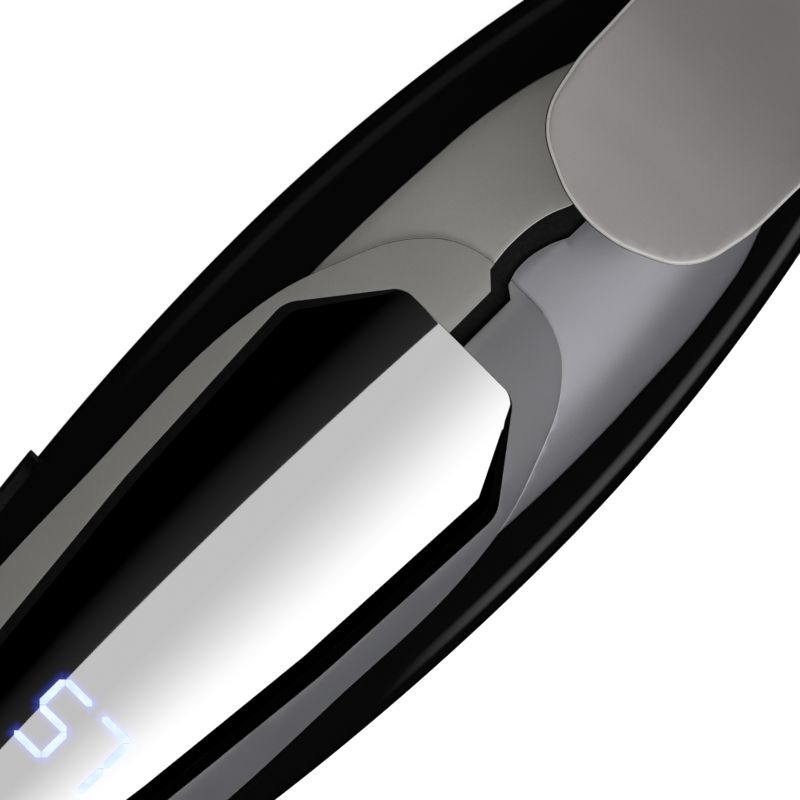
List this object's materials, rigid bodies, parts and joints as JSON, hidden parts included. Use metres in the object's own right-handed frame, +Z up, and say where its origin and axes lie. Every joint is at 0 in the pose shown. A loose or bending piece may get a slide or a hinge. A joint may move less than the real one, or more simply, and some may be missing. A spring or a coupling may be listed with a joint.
{
  "type": "curling iron",
  "caption": "Clamp curling iron with a tapered glossy handle, digital display, side keys, sprung thumb lever, fold-out wire stand and swivel cord inlet.",
  "frame": {"origin": "bottom centre of the bounding box, on the surface the iron lies on", "axes": "+X along the axis towards the cool tip, +Z up through the display, +Y to the side with the keys"},
  "size_m": [0.306, 0.0404, 0.0465],
  "materials": {
    "gloss_black": "piano-black moulded ABS, polished",
    "satin_grey": "satin metallic grey paint on ABS",
    "bezel_grey": "satin metallic grey paint on ABS",
    "smoked_glass": "black back-printed acrylic window, polished",
    "lit_display": "lit cold-white display segments",
    "matte_black": "glass-filled nylon, fine texture",
    "soft_black": "moulded thermoplastic elastomer",
    "key_black": "satin black ABS",
    "board_green": "solder-masked glass epoxy",
    "relay_blue": "moulded relay case",
    "capacitor_yellow": "moulded film capacitor",
    "fuse_glass": "glass fuse tube",
    "plated_steel": "zinc-plated steel",
    "spring_steel": "drawn spring wire",
    "blade_steel": "ceramic-coated steel, satin",
    "barrel_coat": "ceramic-coated aluminium, satin",
    "cast_aluminium": "extruded aluminium",
    "ceramic_white": "sintered alumina",
    "mica": "pressed mica sheet",
    "lead_insulation": "glass-braid sleeving",
    "chrome_wire": "chromed steel wire",
    "brass": "turned brass"
  },
  "bodies": {
    "handle": {"front_shell": "gloss_black", "rear_shell": "gloss_black", "inlay_left": "satin_grey", "inlay_right": "satin_grey", "display_bezel": "bezel_grey", "display_window": "smoked_glass", "lit_segments": "lit_display", "display_module": "matte_black", "control_board": "board_green", "board_screws": "plated_steel", "heating_relay": "relay_blue", "filter_capacitor": "capacitor_yellow", "line_fuse": "fuse_glass", "tact_switches": "matte_black", "case_screws": "plated_steel", "screw_caps": "soft_black", "barrel_collar": "matte_black", "heat_barrier": "mica", "barrel_tube": "barrel_coat", "heater_element": "ceramic_white", "heat_spreader_upper": "cast_aluminium", "heat_spreader_lower": "cast_aluminium", "temperature_sensor": "ceramic_white", "thermal_fuse": "plated_steel", "heater_leads": "lead_insulation", "cool_tip": "matte_black", "hinge_bracket": "plated_steel", "bracket_screws": "plated_steel", "hinge_pin": "plated_steel", "clamp_spring": "spring_steel", "brush_springs": "brass"},
    "clamp": {"clamp_blade": "blade_steel", "lever_arm": "gloss_black", "thumb_pad": "satin_grey", "blade_rivets": "plated_steel"},
    "power_button": {"power_key": "key_black"},
    "heat_up_button": {"heat_up_key": "key_black"},
    "heat_down_button": {"heat_down_key": "key_black"},
    "stand": {"wire_stand": "chrome_wire"},
    "cord_swivel": {"swivel_gland": "soft_black", "slip_rings": "brass"}
  },
  "joints": [
    {"name": "clamp_hinge", "type": "hinge", "parent": "handle", "child": "clamp", "pos_m": [0.013, 0, 0.0316], "axis": [0, -1, 0], "range_deg": [0, 16], "stiffness_Nm_per_rad": 0.3, "springref_deg": -20.05, "deforming": ["clamp_spring"]},
    {"name": "power_press", "type": "slide", "parent": "handle", "child": "power_button", "axis": [0, -1, 0], "range_m": [0, 0.0006], "stiffness_N_per_m": 600, "springref_m": -0.0004},
    {"name": "heat_up_press", "type": "slide", "parent": "handle", "child": "heat_up_button", "axis": [0, -1, 0], "range_m": [0, 0.0006], "stiffness_N_per_m": 600, "springref_m": -0.0004},
    {"name": "heat_down_press", "type": "slide", "parent": "handle", "child": "heat_down_button", "axis": [0, -1, 0], "range_m": [0, 0.0006], "stiffness_N_per_m": 600, "springref_m": -0.0004},
    {"name": "stand_fold", "type": "hinge", "parent": "handle", "child": "stand", "pos_m": [0.0105, 0, 0.0101], "axis": [0, 1, 0], "range_deg": [0, 50]},
    {"name": "cord_turn", "type": "hinge", "parent": "handle", "child": "cord_swivel", "pos_m": [-0.135, 0, 0.0151], "axis": [1, 0, 0], "continuous": true}
  ]
}
